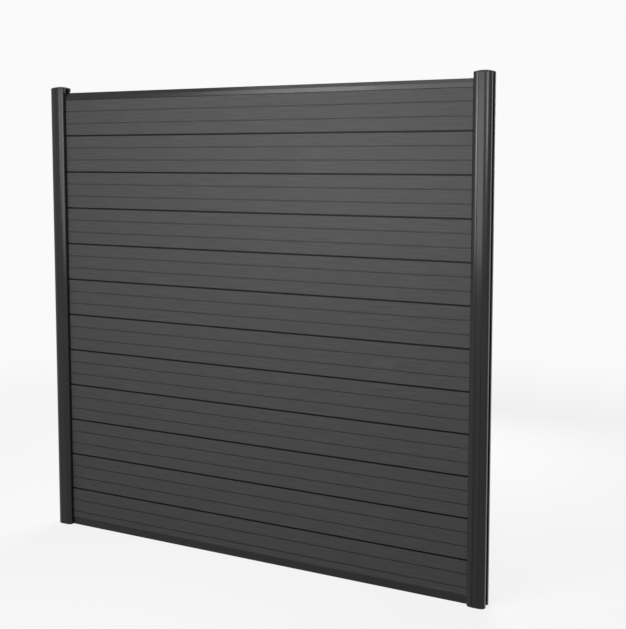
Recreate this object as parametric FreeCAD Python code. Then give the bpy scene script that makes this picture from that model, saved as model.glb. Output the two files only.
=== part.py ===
import FreeCAD, Part
import math
import os

# Garden privacy screen. Twelve hollow composite boards stand on edge, one on top of the other,
# in the slots of two aluminium posts. An aluminium channel closes the field below and a cover
# rail closes it above. Both rails hang on steel angles that are screwed to the slot floors.
#
# Millimetres. X runs along the screen, Y through it with the front towards -Y, and Z up.
# The origin is on the ground, in the middle of the screen.

Vector = FreeCAD.Vector

# Whole screen
screen_length = 1900.0          # over the outer faces of both posts

# Posts: one extrusion, used for both sides, with a slot in each side face
post_width = 66.0               # square outline
post_wall = 2.2
post_flat = 22.0                # flat band in the middle of the front and back faces
post_shoulder_turn = 32.0       # degrees by which each shoulder bends back from that band
post_corner_radius = 9.0
face_line_width = 1.8           # fine V groove at each edge of the flat band
face_line_depth = 0.9
slot_depth = 18.0
post_above_rail = 18.0          # tube above the top rail

# Post caps
cap_rim = 4.0                   # rim height at the middle of a side
cap_rise = 5.0                  # dome above that rim
cap_plug_depth = 14.0
cap_plug_wall = 2.0
cap_plug_gap = 20.0             # open middle of the plug, clear of the screw tips
cap_plug_clearance = 0.3

# Boards
board_count = 12
board_face_height = 144.0
board_joint_gap = 6.0           # open shadow gap between two boards
board_thickness = 20.0
board_side_clearance = 0.5      # to each side wall of a slot or rail
board_end_clearance = 4.0       # room to expand, at each end
board_edge_radius = 1.2
tongue_thickness = 8.0
tongue_clearance = 0.3          # to each side wall of the groove
tongue_edge_radius = 1.0
groove_depth = 9.0              # in the lower edge of each board
strips_per_board = 3
face_groove_width = 4.0         # at the face
face_groove_floor = 2.4
face_groove_depth = 2.2
board_skin = 4.4                # face wall of the hollow core
board_rib = 4.0                 # rib in the middle of a strip
groove_rib = 7.0                # rib behind a face groove
edge_wall = 5.0                 # above the groove and below the tongue
core_corner_radius = 1.5

# Rails
rail_wall = 2.2
rail_end_clearance = 0.5        # to the face of each post
bottom_rail_height = 30.0
bottom_rail_seat = 10.0         # height of the shelf that the first board stands on
top_rail_height = 30.0
top_rail_side = 16.0            # upright part of its side, below the slope
top_rail_inset = 5.0            # how far the slope leans in
top_rail_edge_radius = 2.0
rail_edge_radius = 0.8

# Angles that hold the rails
bracket_thickness = 2.5
bracket_clearance = 0.5         # beside a bracket in its rail and its slot
bracket_bend = 2.5              # outer radius of the bend
bracket_reach = 32.0            # length inside the rail
lower_bracket_rise = 42.0
upper_bracket_headroom = 2.5    # between the upper bracket and the cap

# Screws
screw_diameter = 4.0
screw_clearance = 0.05          # radial, in every hole
countersunk_head = 7.5
countersunk_height = 2.2
slot_screw_length = 8.0
slot_screw_spacing = 16.0
slot_screw_first = 17.0         # first hole above the lower bracket's underside
pan_head = 7.0
pan_head_height = 2.4
pan_edge_radius = 1.0
rail_screw_length = 6.5
rail_screw_inset = 18.0         # hole to the end of the rail
recess_length = 4.0             # cross recess in every head
recess_width = 1.0
recess_depth = 1.2

# Worked out from the sizes above
post_half = post_width / 2
post_centre = screen_length / 2 - post_half
post_inner_face = screen_length / 2 - post_width
slot_floor = post_inner_face + slot_depth
slot_half = board_thickness / 2 + board_side_clearance
web_outer = post_half - slot_depth
web_inner = web_outer - post_wall
board_pitch = board_face_height + board_joint_gap
board_half_length = slot_floor - board_end_clearance
tongue_height = board_joint_gap + groove_depth
rail_half = board_thickness / 2 + board_side_clearance + rail_wall
rail_half_length = post_inner_face - rail_end_clearance
stack_top = bottom_rail_seat + board_count * board_pitch - board_joint_gap
top_rail_top = stack_top + top_rail_height
post_top = top_rail_top + post_above_rail
lower_bracket_top = bottom_rail_seat - rail_wall
lower_bracket_half = slot_half - bracket_clearance
upper_bracket_top = top_rail_top - rail_wall
upper_bracket_half = rail_half - top_rail_inset - rail_wall - bracket_clearance
upper_bracket_rise = post_top - upper_bracket_headroom - upper_bracket_top + bracket_thickness


def box(x0, x1, y0, y1, z0, z1):
    """Block between two opposite corners, given in any order."""
    corner = Vector(min(x0, x1), min(y0, y1), min(z0, z1))
    return Part.makeBox(abs(x1 - x0), abs(y1 - y0), abs(z1 - z0), corner)


def rounded_wire(corners):
    """Closed wire in the YZ plane through (y, z, radius) corners, each rounded by its radius."""
    edges = []
    starts = []
    ends = []
    for index, (y, z, radius) in enumerate(corners):
        here = Vector(0, y, z)
        before = Vector(0, *corners[index - 1][:2]) - here
        after = Vector(0, *corners[(index + 1) % len(corners)][:2]) - here
        before.normalize()
        after.normalize()
        half_angle = before.getAngle(after) / 2
        trim = radius / math.tan(half_angle)
        starts.append(here + before * trim)
        ends.append(here + after * trim)
        if radius > 0:
            middle = before + after
            middle.normalize()
            reach = radius / math.sin(half_angle) - radius
            edges.append(Part.Arc(starts[-1], here + middle * reach, ends[-1]).toShape())
    for index, end in enumerate(ends):
        following = starts[(index + 1) % len(starts)]
        edges.append(Part.makeLine(end, following))
    return Part.Wire(Part.__sortEdges__(edges))


def bar(outline, holes, half_length):
    """Extrusion along X of a section in the YZ plane, centred on the screen."""
    face = Part.Face([outline] + holes, "Part::FaceMakerBullseye")
    face.translate(Vector(-half_length, 0, 0))
    return face.extrude(Vector(2 * half_length, 0, 0))


def export(shape, name):
    shape.exportStep("parts/" + name + ".step")


# ---------------------------------------------------------------- posts

def post_quarter(across, through, inset):
    """Points of one rounded quarter: band end, shoulder, shoulder end, corner, side start."""
    turn = math.radians(post_shoulder_turn)
    corner = post_corner_radius
    shoulder = corner + (post_half - post_flat / 2 - corner) / math.sin(turn)
    shoulder_x = post_flat / 2
    shoulder_y = post_half - shoulder
    corner_x = shoulder_x + (shoulder - corner) * math.sin(turn)
    corner_y = shoulder_y + (shoulder - corner) * math.cos(turn)
    points = []
    for angle in (0, turn / 2, turn):
        x = shoulder_x + (shoulder - inset) * math.sin(angle)
        y = shoulder_y + (shoulder - inset) * math.cos(angle)
        points.append(Vector(across * x, through * y, 0))
    for angle in ((turn + math.pi / 2) / 2, math.pi / 2):
        x = corner_x + (corner - inset) * math.sin(angle)
        y = corner_y + (corner - inset) * math.cos(angle)
        points.append(Vector(across * x, through * y, 0))
    return points


def post_prism(inset, z0, z1):
    """Upright prism with the post's outline, moved in by inset, about the post's own axis."""
    path = []
    for across, through in ((1, -1), (1, 1), (-1, 1), (-1, -1)):
        points = post_quarter(across, through, inset)
        if across * through > 0:
            points.reverse()
        path.append(points)
    edges = []
    for index, points in enumerate(path):
        edges.append(Part.Arc(points[0], points[1], points[2]).toShape())
        edges.append(Part.Arc(points[2], points[3], points[4]).toShape())
        edges.append(Part.makeLine(points[4], path[(index + 1) % 4][0]))
    face = Part.Face(Part.Wire(edges))
    face.translate(Vector(0, 0, z0))
    return face.extrude(Vector(0, 0, z1 - z0))


def face_line(middle, through):
    """V groove that runs down the front (through -1) or back (through 1) of a post."""
    surface = through * post_half
    mouth = Vector(face_line_width / 2, 0, 0)
    bottom = Vector(middle, surface - through * face_line_depth, 0)
    centre = Vector(middle, surface, 0)
    face = Part.Face(Part.makePolygon([centre - mouth, bottom, centre + mouth, centre - mouth]))
    return face.extrude(Vector(0, 0, post_top))


def slotted_tube():
    """The post's tube about its own axis: five chambers and a slot in each side."""
    tube = post_prism(0, 0, post_top)
    inside = post_prism(post_wall, 0, post_top)
    chamber = box(-web_inner, web_inner, -post_half, post_half, 0, post_top)
    cuts = [inside.common(chamber)]
    lobe_start = slot_half + post_wall
    for across in (-1, 1):
        cuts.append(box(across * web_outer, across * post_half, -slot_half, slot_half, 0, post_top))
        for through in (-1, 1):
            quarter = box(across * web_outer, across * post_half,
                          through * lobe_start, through * post_half, 0, post_top)
            cuts.append(inside.common(quarter))
            cuts.append(face_line(across * post_flat / 2, through))
    return tube.cut(cuts)


def screw_hole(side, height, length):
    """Hole through the web of a post, at the place of a slot screw."""
    hole = Part.makeCylinder(screw_diameter / 2 + screw_clearance, length,
                             Vector(slot_floor - length / 2, 0, height), Vector(1, 0, 0))
    return hole if side > 0 else hole.mirror(Vector(0, 0, 0), Vector(1, 0, 0))


lower_bracket_base = lower_bracket_top - bracket_thickness
upper_bracket_base = upper_bracket_top - bracket_thickness
slot_screw_heights = [
    lower_bracket_base + slot_screw_first,
    lower_bracket_base + slot_screw_first + slot_screw_spacing,
    (top_rail_top + post_top) / 2,
]

for side, name in ((-1, "left"), (1, "right")):
    post = slotted_tube()
    post.translate(Vector(side * post_centre, 0, 0))
    for height in slot_screw_heights:
        post = post.cut(screw_hole(side, height, 4 * post_wall))
    export(post, name + "_post")

# ---------------------------------------------------------------- post caps

cap_top = post_top + cap_rim + cap_rise
dome_radius = (post_half ** 2 + cap_rise ** 2) / (2 * cap_rise)
plug_x = web_inner - cap_plug_clearance
plug_y = post_half - post_wall - cap_plug_clearance
cap = post_prism(0, post_top, cap_top)
cap = cap.common(Part.makeSphere(dome_radius, Vector(0, 0, cap_top - dome_radius)))
plug = box(-plug_x, plug_x, -plug_y, plug_y, post_top - cap_plug_depth, post_top)
plug = plug.cut(box(-plug_x + cap_plug_wall, plug_x - cap_plug_wall,
                    -plug_y + cap_plug_wall, plug_y - cap_plug_wall,
                    post_top - cap_plug_depth, post_top))
plug = plug.cut(box(-plug_x, plug_x, -cap_plug_gap / 2, cap_plug_gap / 2,
                    post_top - cap_plug_depth, post_top))
cap = cap.fuse(plug)

for side, name in ((-1, "left"), (1, "right")):
    placed = cap.copy()
    placed.translate(Vector(side * post_centre, 0, 0))
    export(placed, name + "_post_cap")

# ---------------------------------------------------------------- boards

strip_height = board_pitch / strips_per_board
groove_heights = [strip * strip_height - board_joint_gap / 2 for strip in range(1, strips_per_board)]


def board_outline():
    """Section of a board with its lower edge at height 0."""
    half = board_thickness / 2
    groove_half = tongue_thickness / 2 + tongue_clearance
    tongue_half = tongue_thickness / 2
    back = [(groove_half, groove_depth, 0), (groove_half, 0, 0), (half, 0, board_edge_radius)]
    for height in groove_heights:
        back.append((half, height - face_groove_width / 2, 0))
        back.append((half - face_groove_depth, height - face_groove_floor / 2, 0))
        back.append((half - face_groove_depth, height + face_groove_floor / 2, 0))
        back.append((half, height + face_groove_width / 2, 0))
    back.append((half, board_face_height, board_edge_radius))
    back.append((tongue_half, board_face_height, 0))
    back.append((tongue_half, board_face_height + tongue_height, tongue_edge_radius))
    front = [(-y, z, radius) for y, z, radius in reversed(back)]
    return rounded_wire(back + front)


def board_cores():
    """Hollow chambers of a board: two in each strip, on both sides of its rib."""
    half = board_thickness / 2 - board_skin
    limits = [groove_depth + edge_wall]
    for height in groove_heights:
        limits.append(height - groove_rib / 2)
        limits.append(height + groove_rib / 2)
    limits.append(board_face_height - edge_wall)
    cores = []
    for low, high in zip(limits[0::2], limits[1::2]):
        middle = (low + high) / 2
        for z0, z1 in ((low, middle - board_rib / 2), (middle + board_rib / 2, high)):
            radius = core_corner_radius
            cores.append(rounded_wire([(-half, z0, radius), (half, z0, radius),
                                       (half, z1, radius), (-half, z1, radius)]))
    return cores


first_board = bar(board_outline(), board_cores(), board_half_length)
for level in range(board_count):
    board = first_board.copy()
    board.translate(Vector(0, 0, bottom_rail_seat + level * board_pitch))
    export(board, "board_%02d" % (level + 1))

# ---------------------------------------------------------------- rails

rail_inner = rail_half - rail_wall

bottom_outline = rounded_wire([
    (-rail_half, 0, rail_edge_radius), (rail_half, 0, rail_edge_radius),
    (rail_half, bottom_rail_height, rail_edge_radius), (rail_inner, bottom_rail_height, 0),
    (rail_inner, bottom_rail_seat, 0), (-rail_inner, bottom_rail_seat, 0),
    (-rail_inner, bottom_rail_height, 0), (-rail_half, bottom_rail_height, rail_edge_radius),
])
bottom_chamber = rounded_wire([
    (-rail_inner, rail_wall, 0), (rail_inner, rail_wall, 0),
    (rail_inner, lower_bracket_top, 0), (-rail_inner, lower_bracket_top, 0),
])
export(bar(bottom_outline, [bottom_chamber], rail_half_length), "bottom_rail")

lip_half = tongue_thickness / 2 + tongue_clearance
crown_half = rail_half - top_rail_inset
top_back = [
    (lip_half, rail_wall, 0), (lip_half, 0, 0), (rail_half, 0, rail_edge_radius),
    (rail_half, top_rail_side, 0), (crown_half, top_rail_height, top_rail_edge_radius),
]
top_front = [(-y, z, radius) for y, z, radius in reversed(top_back)]
top_inside = [
    (-rail_inner, rail_wall, 0), (-rail_inner, top_rail_side, 0),
    (rail_wall - crown_half, top_rail_height - rail_wall, 0),
    (crown_half - rail_wall, top_rail_height - rail_wall, 0),
    (rail_inner, top_rail_side, 0), (rail_inner, rail_wall, 0),
]
top_rail = bar(rounded_wire(top_back + top_front + top_inside), [], rail_half_length)
top_rail.translate(Vector(0, 0, stack_top))
rail_screw_x = rail_half_length - rail_screw_inset
for side in (-1, 1):
    drill = Part.makeCylinder(screw_diameter / 2 + screw_clearance, 3 * rail_wall,
                              Vector(side * rail_screw_x, 0, top_rail_top - 2 * rail_wall))
    top_rail = top_rail.cut(drill)
export(top_rail, "top_rail")

# ---------------------------------------------------------------- brackets


def countersink(head_room):
    """Head and shank of a slot screw on the +X side, pointing outwards from the slot floor."""
    face_x = slot_floor - bracket_thickness
    shank_radius = screw_diameter / 2 + head_room
    head_radius = countersunk_head / 2 + head_room
    head = Part.makeCone(head_radius, shank_radius, countersunk_height,
                         Vector(face_x, 0, 0), Vector(1, 0, 0))
    shank = Part.makeCylinder(shank_radius, slot_screw_length,
                              Vector(face_x, 0, 0), Vector(1, 0, 0))
    return head.fuse(shank)


def angle_bracket(base, rise, half_width, screw_heights):
    """Angle on the +X side: one leg lies in the rail, the other stands on the slot floor."""
    inner_end = rail_half_length - bracket_reach
    lying = box(inner_end, slot_floor, -half_width, half_width, base, base + bracket_thickness)
    standing = box(slot_floor - bracket_thickness, slot_floor, -half_width, half_width,
                   base, base + rise)
    bracket = lying.fuse(standing).removeSplitter()
    bend = [edge for edge in bracket.Edges
            if (edge.CenterOfMass - Vector(slot_floor, 0, base)).Length < 0.01]
    bracket = bracket.makeFillet(bracket_bend, bend)
    for height in screw_heights:
        hole = countersink(screw_clearance)
        hole.translate(Vector(0, 0, height))
        bracket = bracket.cut(hole)
    return bracket


lower_bracket = angle_bracket(lower_bracket_base, lower_bracket_rise, lower_bracket_half,
                              slot_screw_heights[:2])
upper_bracket = angle_bracket(upper_bracket_base, upper_bracket_rise, upper_bracket_half,
                              slot_screw_heights[2:])
upper_bracket = upper_bracket.cut(
    Part.makeCylinder(screw_diameter / 2 + screw_clearance, 3 * bracket_thickness,
                      Vector(rail_screw_x, 0, upper_bracket_base - bracket_thickness)))

mirror_plane = (Vector(0, 0, 0), Vector(1, 0, 0))
export(lower_bracket, "lower_right_bracket")
export(lower_bracket.mirror(*mirror_plane), "lower_left_bracket")
export(upper_bracket, "upper_right_bracket")
export(upper_bracket.mirror(*mirror_plane), "upper_left_bracket")

# ---------------------------------------------------------------- screws


def cross_recess():
    """Cross that is cut into a screw head, from height 0 down."""
    long_half = recess_length / 2
    thin_half = recess_width / 2
    one = box(-long_half, long_half, -thin_half, thin_half, -recess_depth, 0)
    other = box(-thin_half, thin_half, -long_half, long_half, -recess_depth, 0)
    return one.fuse(other)


slot_recess = cross_recess()
slot_recess.rotate(Vector(0, 0, 0), Vector(0, 1, 0), -90)
slot_recess.translate(Vector(slot_floor - bracket_thickness, 0, 0))
slot_screw = countersink(0).cut(slot_recess)
slot_screws = []
for height in slot_screw_heights:
    screw = slot_screw.copy()
    screw.translate(Vector(0, 0, height))
    slot_screws.append(screw)
right_screws = Part.makeCompound(slot_screws)
export(right_screws, "right_bracket_screws")
export(right_screws.mirror(*mirror_plane), "left_bracket_screws")

pan = Part.makeCylinder(pan_head / 2, pan_head_height)
rim = [edge for edge in pan.Edges if abs(edge.CenterOfMass.z - pan_head_height) < 0.01]
pan = pan.makeFillet(pan_edge_radius, rim[:1])
recess = cross_recess()
recess.translate(Vector(0, 0, pan_head_height))
shank = Part.makeCylinder(screw_diameter / 2, rail_screw_length, Vector(0, 0, -rail_screw_length))
rail_screw = pan.cut(recess).fuse(shank)
rail_screws = []
for side in (-1, 1):
    screw = rail_screw.copy()
    screw.translate(Vector(side * rail_screw_x, 0, top_rail_top))
    rail_screws.append(screw)
export(Part.makeCompound(rail_screws), "top_rail_screws")
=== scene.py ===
import math

import bpy
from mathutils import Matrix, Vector

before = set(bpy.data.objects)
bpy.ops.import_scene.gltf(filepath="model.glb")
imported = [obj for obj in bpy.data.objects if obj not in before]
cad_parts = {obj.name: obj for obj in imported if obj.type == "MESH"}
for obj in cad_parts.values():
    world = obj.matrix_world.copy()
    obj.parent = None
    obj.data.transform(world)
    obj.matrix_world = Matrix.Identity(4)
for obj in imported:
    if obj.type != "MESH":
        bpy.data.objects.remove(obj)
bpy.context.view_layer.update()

# ---------------------------------------------------------------- posts
# Two square aluminium extrusions, 66 mm over their faces, with a board slot in both sides. They
# are powder coated: an anthracite polyester film, baked on, with a satin gloss. Its faint orange
# peel softens every reflection, and the die leaves fine lines along the extrusion.

mm_per_metre = 1000


def srgb(hex_colour):
    """Linear RGBA of an sRGB colour written as #rrggbb."""
    linear = []
    for start in (1, 3, 5):
        level = int(hex_colour[start:start + 2], 16) / 255
        linear.append(level / 12.92 if level <= 0.04045 else ((level + 0.055) / 1.055) ** 2.4)
    return (*linear, 1.0)


def add_node(tree, kind, values=None, links=None, **settings):
    """Adds a node with its settings, the constants of its sockets and the links into them."""
    node = tree.nodes.new(kind)
    for name, value in settings.items():
        setattr(node, name, value)
    for socket, value in (values or {}).items():
        node.inputs[socket].default_value = value
    for socket, source in (links or {}).items():
        tree.links.new(source, node.inputs[socket])
    return node


def new_material(name):
    """Material with its node tree, its Principled shader and the place of each point on a piece."""
    material = bpy.data.materials.new(name)
    material.use_nodes = True
    tree = material.node_tree
    tree.nodes.clear()
    shader = add_node(tree, "ShaderNodeBsdfPrincipled")
    add_node(tree, "ShaderNodeOutputMaterial", links={"Surface": shader.outputs["BSDF"]})
    place = add_node(tree, "ShaderNodeTexCoord").outputs["Object"]
    return material, tree, shader, place


def noise(tree, place, size_mm, detail):
    """Grey noise with spots of about that size."""
    spots = add_node(tree, "ShaderNodeTexNoise",
                     {"Scale": mm_per_metre / size_mm, "Detail": detail}, {"Vector": place})
    return spots.outputs["Fac"]


def streaks(tree, place, sizes_mm, detail, roughness=0.5):
    """Grey noise drawn out to its own size along each of X, Y and Z."""
    scales = [mm_per_metre / size_mm for size_mm in sizes_mm]
    stretched = add_node(tree, "ShaderNodeMapping", {"Scale": scales}, {"Vector": place})
    lines = add_node(tree, "ShaderNodeTexNoise",
                     {"Scale": 1.0, "Detail": detail, "Roughness": roughness},
                     {"Vector": stretched.outputs["Vector"]})
    return lines.outputs["Fac"]


def blend(tree, factor, first, second):
    """Colour from the first to the second; each is a colour or the output of a node."""
    mix = add_node(tree, "ShaderNodeMix", links={"Factor": factor}, data_type="RGBA")
    for socket, colour in (("A", first), ("B", second)):
        if isinstance(colour, tuple):
            mix.inputs[socket].default_value = colour
        else:
            tree.links.new(colour, mix.inputs[socket])
    return mix.outputs[2]


def vary_roughness(tree, shader, pattern, smoothest, roughest, pattern_range=(0.0, 1.0)):
    """Roughness between two values, from the lowest to the highest grey of a pattern."""
    roughness = add_node(tree, "ShaderNodeMapRange",
                         {"From Min": pattern_range[0], "From Max": pattern_range[1],
                          "To Min": smoothest, "To Max": roughest}, {"Value": pattern})
    tree.links.new(roughness.outputs["Result"], shader.inputs["Roughness"])


def relief(tree, pattern, depth_mm, strength):
    """Bump that makes a pattern stand out by that depth."""
    return add_node(tree, "ShaderNodeBump",
                    {"Strength": strength, "Distance": depth_mm / mm_per_metre}, {"Height": pattern})


def dress(material, *names):
    """Gives the frame's nodes this material."""
    for name in names:
        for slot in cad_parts[name].material_slots:
            slot.material = material


def powder_coated_aluminium(name, extruded_axis):
    """Satin powder coat on an extrusion that runs along the axis X or Z."""
    film_cloud_mm = 260.0       # slow change of the film's thickness
    film_cloud_range = (0.3, 0.7)
    die_line_mm = 1.5           # real lines are a few tenths of a millimetre apart, drawn coarser
    die_line_length_mm = 150.0
    die_line_depth_mm = 0.02
    orange_peel_mm = 2.4        # real peel is 1 to 2 mm from crest to crest, drawn a little coarser
    orange_peel_depth_mm = 0.03
    material, tree, shader, place = new_material(name)
    cloud = noise(tree, place, film_cloud_mm, detail=2.0)
    film = blend(tree, cloud, srgb("#1a1a1a"), srgb("#202020"))
    tree.links.new(film, shader.inputs["Base Color"])
    vary_roughness(tree, shader, cloud, smoothest=0.2, roughest=0.25, pattern_range=film_cloud_range)
    line_sizes_mm = [die_line_length_mm if axis == extruded_axis else die_line_mm for axis in "XYZ"]
    die_lines = streaks(tree, place, line_sizes_mm, detail=3.0)
    ridges = relief(tree, die_lines, die_line_depth_mm, strength=0.25)
    orange_peel = noise(tree, place, orange_peel_mm, detail=1.0)
    skin = relief(tree, orange_peel, orange_peel_depth_mm, strength=0.3)
    tree.links.new(ridges.outputs["Normal"], skin.inputs["Normal"])
    tree.links.new(skin.outputs["Normal"], shader.inputs["Normal"])
    shader.inputs["Specular IOR Level"].default_value = 0.26
    return material


upright_powder_coat = powder_coated_aluminium("powder coated aluminium, upright", "Z")
dress(upright_powder_coat, "left_post", "right_post")

# ---------------------------------------------------------------- brackets
# Four steel angles, 2.5 mm thick, bent and zinc plated. Each is screwed to the floor of a post's
# slot and holds one end of a rail. The thin blue-clear plating shows as a soft, cloudy metal.

plating_cloud_mm = 9.0
zinc, tree, shader, place = new_material("zinc plated steel")
cloud = noise(tree, place, plating_cloud_mm, detail=3.0)
plating = blend(tree, cloud, srgb("#a9afb5"), srgb("#c6c8c4"))
tree.links.new(plating, shader.inputs["Base Color"])
vary_roughness(tree, shader, cloud, smoothest=0.28, roughest=0.46)
shader.inputs["Metallic"].default_value = 1.0
dress(zinc, "lower_left_bracket", "lower_right_bracket")
dress(zinc, "upper_left_bracket", "upper_right_bracket")

# ---------------------------------------------------------------- rails
# The bottom rail is a channel for the first board, and the top rail a cover for the last one's
# tongue. Both are extrusions of the same alloy and coat as the posts, with die lines along them.

level_powder_coat = powder_coated_aluminium("powder coated aluminium, level", "X")
dress(level_powder_coat, "bottom_rail", "top_rail")

# ---------------------------------------------------------------- boards
# Twelve hollow boards of wood-plastic composite, extruded and then brushed lengthwise, tongue in
# groove. The polymer gives a dull, even grey, the wood flour a faint streak, and the brush fine
# scratches along each board, so the faces scatter light nearly evenly.

board_count = 12
grain_length_mm = 120.0
grain_height_mm = 5.0           # wood flour streaks
grain_range = (0.35, 0.65)      # greys of the pattern that span the two colours of the grain
scratch_height_mm = 1.6         # real scratches are about 0.3 mm apart, too fine to show
scratch_depth_mm = 0.1
blotch_mm = 170.0
composite, tree, shader, place = new_material("wood-plastic composite, brushed")
grain_sizes_mm = (grain_length_mm, grain_height_mm, grain_height_mm)
grain = streaks(tree, place, grain_sizes_mm, detail=4.0, roughness=0.6)
contrast = add_node(tree, "ShaderNodeMapRange",
                    {"From Min": grain_range[0], "From Max": grain_range[1]}, {"Value": grain})
grained = blend(tree, contrast.outputs["Result"], srgb("#3f3f3f"), srgb("#505050"))
blotch = noise(tree, place, blotch_mm, detail=3.0)
blotched = blend(tree, blotch, grained, srgb("#454545"))
scratch_sizes_mm = (grain_length_mm, scratch_height_mm, scratch_height_mm)
scratches = streaks(tree, place, scratch_sizes_mm, detail=2.0)
vary_roughness(tree, shader, scratches, smoothest=0.38, roughest=0.46)
scratched = relief(tree, scratches, scratch_depth_mm, strength=0.4)
tree.links.new(scratched.outputs["Normal"], shader.inputs["Normal"])
shader.inputs["Specular IOR Level"].default_value = 0.1


def beyond(tree, vector, limit):
    """1 where a vector reaches further than the limit to the front or back, and 0 elsewhere."""
    parts = add_node(tree, "ShaderNodeSeparateXYZ", links={"Vector": vector})
    reach = add_node(tree, "ShaderNodeMath", links={0: parts.outputs["Y"]}, operation="ABSOLUTE")
    test = add_node(tree, "ShaderNodeMath", {1: limit}, {0: reach.outputs["Value"]},
                    operation="GREATER_THAN")
    return test.outputs["Value"]


# Brushing reaches only the faces; tongues, grooves and edges are near black: painted joint shade.
brushed_depth = 0.006           # distance from the board's middle plane, in metres
brushed_turn = 0.5              # cosine of 60 degrees between a brushed surface and the face
true_normal = add_node(tree, "ShaderNodeNewGeometry").outputs["True Normal"]
brushed = add_node(tree, "ShaderNodeMath", operation="MULTIPLY",
                   links={0: beyond(tree, place, brushed_depth),
                          1: beyond(tree, true_normal, brushed_turn)})
# Off the brushed faces the colour is #141414, painted shade in the joints between the boards.
surface_with_painted_joint_shade = blend(tree, brushed.outputs["Value"], srgb("#141414"), blotched)
tree.links.new(surface_with_painted_joint_shade, shader.inputs["Base Color"])
dress(composite, *["board_%02d" % number for number in range(1, board_count + 1)])

# ---------------------------------------------------------------- screws
# Stainless steel screws with a cross recess: three countersunk ones hold the angles in each slot,
# and two pan heads hold the top rail. They are turned steel, bright with a fine lathe finish.

turning_mm = 0.8                # real turning marks are about 0.1 mm apart, too fine to show
stainless, tree, shader, place = new_material("stainless screw steel")
turning = noise(tree, place, turning_mm, detail=1.0)
vary_roughness(tree, shader, turning, smoothest=0.2, roughest=0.34)
shader.inputs["Base Color"].default_value = srgb("#c4c2bd")
shader.inputs["Metallic"].default_value = 1.0
dress(stainless, "left_bracket_screws", "right_bracket_screws", "top_rail_screws")

# ---------------------------------------------------------------- post caps
# Moulded black nylon lids, pushed into the posts' open ends. The mould is spark eroded, which
# leaves a fine, dull grain all over the dome and the rim.

spark_mm = 1.1                  # real erosion grain is about 0.1 mm, too fine to show
spark_depth_mm = 0.05
nylon, tree, shader, place = new_material("black nylon, moulded")
spark = noise(tree, place, spark_mm, detail=2.0)
vary_roughness(tree, shader, spark, smoothest=0.46, roughest=0.6)
pits = relief(tree, spark, spark_depth_mm, strength=0.3)
tree.links.new(pits.outputs["Normal"], shader.inputs["Normal"])
shader.inputs["Base Color"].default_value = srgb("#171718")
shader.inputs["Specular IOR Level"].default_value = 0.25
dress(nylon, "left_post_cap", "right_post_cap")

# ---------------------------------------------------------------- floor
# A plain studio floor. Its matt grey takes the shadow of the screen, and a glow that shows only
# to the camera and in reflections brings it near to white. It fades into the white background,
# so no horizon shows.

white = "#fafafa"
floor_radius = 9.0
fade_start = 1.3                # distance from the middle of the floor, in metres
fade_end = 4.95
floor_drop = 0.0005             # clear of the feet, in metres
floor_glow = 0.83
rim_points = 96


def seen_directly(tree):
    """1 for camera, glossy and transmission rays, and 0 for the diffuse rays that spread light."""
    rays = add_node(tree, "ShaderNodeLightPath")
    shown = add_node(tree, "ShaderNodeMath", operation="MAXIMUM",
                     links={0: rays.outputs["Is Camera Ray"], 1: rays.outputs["Is Glossy Ray"]})
    seen = add_node(tree, "ShaderNodeMath", operation="MAXIMUM",
                    links={0: shown.outputs["Value"], 1: rays.outputs["Is Transmission Ray"]})
    return seen.outputs["Value"]


rim_angles = [2 * math.pi * point / rim_points for point in range(rim_points)]
rim = [(floor_radius * math.cos(angle), floor_radius * math.sin(angle), 0) for angle in rim_angles]
floor_mesh = bpy.data.meshes.new("studio_floor")
floor_mesh.from_pydata(rim, [], [tuple(range(rim_points))])
floor = bpy.data.objects.new("studio_floor", floor_mesh)
floor.location.z = -floor_drop
bpy.context.scene.collection.objects.link(floor)

pale_floor = bpy.data.materials.new("pale floor")
pale_floor.use_nodes = True
tree = pale_floor.node_tree
tree.nodes.clear()
place = add_node(tree, "ShaderNodeTexCoord").outputs["Object"]
distance = add_node(tree, "ShaderNodeVectorMath", links={0: place}, operation="LENGTH")
fade = add_node(tree, "ShaderNodeMapRange", {"From Min": fade_start, "From Max": fade_end},
                {"Value": distance.outputs["Value"]}, interpolation_type="SMOOTHSTEP")
matt = add_node(tree, "ShaderNodeBsdfDiffuse", {"Color": srgb("#7c7c7c")})
strength = add_node(tree, "ShaderNodeMath", {1: floor_glow}, {0: seen_directly(tree)},
                    operation="MULTIPLY")
glow = add_node(tree, "ShaderNodeEmission", {"Color": srgb(white)},
                {"Strength": strength.outputs["Value"]})
lit = add_node(tree, "ShaderNodeAddShader", links={0: matt.outputs["BSDF"], 1: glow.outputs[0]})
clear = add_node(tree, "ShaderNodeBsdfTransparent")
faded = add_node(tree, "ShaderNodeMixShader",
                 links={0: fade.outputs["Result"], 1: lit.outputs[0], 2: clear.outputs[0]})
add_node(tree, "ShaderNodeOutputMaterial", links={"Surface": faded.outputs[0]})
floor_mesh.materials.append(pale_floor)

# ---------------------------------------------------------------- background and light
# A white background, and a dim even fill from all sides. Four softboxes stand in front of the
# screen: a near key at the height of its upper half, two further off to the left and right, and
# a narrow one above. A fifth lights its back.

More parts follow.
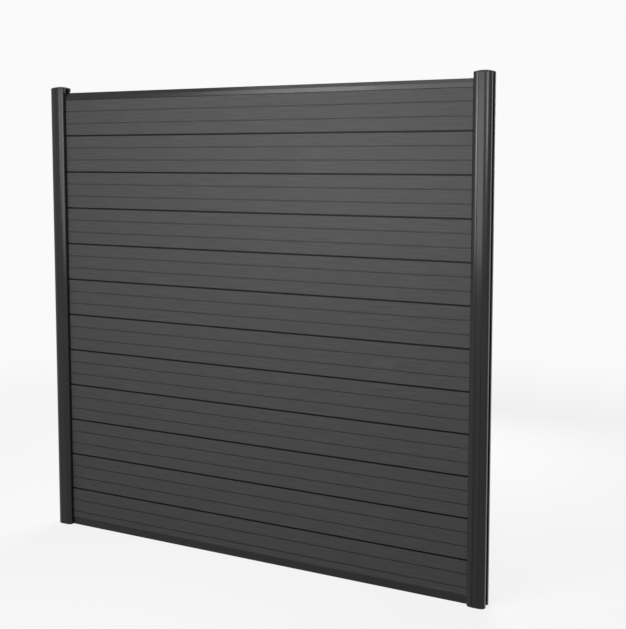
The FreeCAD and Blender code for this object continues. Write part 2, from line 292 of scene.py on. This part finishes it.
fill_level = 0.06
world = bpy.data.worlds.new("studio")
bpy.context.scene.world = world
world.use_nodes = True
tree = world.node_tree
tree.nodes.clear()
fill = add_node(tree, "ShaderNodeBackground", {"Color": srgb(white), "Strength": fill_level})
backdrop = add_node(tree, "ShaderNodeBackground", {"Color": srgb(white), "Strength": 1.0})
surroundings = add_node(tree, "ShaderNodeMixShader",
                        links={0: seen_directly(tree), 1: fill.outputs[0], 2: backdrop.outputs[0]})
add_node(tree, "ShaderNodeOutputWorld", links={"Surface": surroundings.outputs[0]})


def softbox(name, width, height, radiance, stand, aim):
    """Soft rectangular light of that radiance, where 1 is white, aimed at a point."""
    lamp = bpy.data.lights.new(name, "AREA")
    lamp.shape = "RECTANGLE"
    lamp.size = width
    lamp.size_y = height
    lamp.energy = radiance * math.pi * width * height
    light = bpy.data.objects.new(name, lamp)
    light.location = stand
    light.rotation_euler = (Vector(aim) - Vector(stand)).to_track_quat("-Z", "Y").to_euler()
    light.visible_camera = False
    bpy.context.scene.collection.objects.link(light)


softbox("key softbox", 1.6, 1.1, radiance=4.9, stand=(-0.1, -2.0, 1.56), aim=(-0.1, 0.0, 1.56))
softbox("left softbox", 1.4, 1.2, radiance=7.7, stand=(-2.2, -4.5, 1.9), aim=(-0.5, 0.0, 1.5))
softbox("right softbox", 1.4, 1.0, radiance=14.5, stand=(2.4, -4.5, 2.1), aim=(0.5, 0.0, 1.6))
softbox("top softbox", 2.6, 0.6, radiance=3.2, stand=(0.2, -1.4, 2.9), aim=(0.2, 0.0, 1.6))
softbox("back softbox", 2.2, 1.2, radiance=9.5, stand=(-0.4, 2.6, 1.7), aim=(-0.2, 0.0, 1.5))

# ---------------------------------------------------------------- camera
# The photograph's viewpoint: from the right at eye level, through a lens of about 59 mm that is
# shifted down a little.

image_long_side = 629           # pixels
focal_pixels = 1034.3
lens_shift_down = 0.11          # share of the long side
turn_left = math.radians(27.26)
tilt_down = math.radians(4.79)
lens = bpy.data.cameras.new("camera")
lens.sensor_width = 36.0
lens.lens = lens.sensor_width * focal_pixels / image_long_side
lens.shift_y = -lens_shift_down
camera = bpy.data.objects.new("camera", lens)
camera.location = (2.0145, -3.3923, 1.5627)
camera.rotation_euler = (math.pi / 2 - tilt_down, 0, turn_left)
bpy.context.scene.collection.objects.link(camera)
bpy.context.scene.camera = camera
bpy.context.scene.view_settings.view_transform = "Standard"
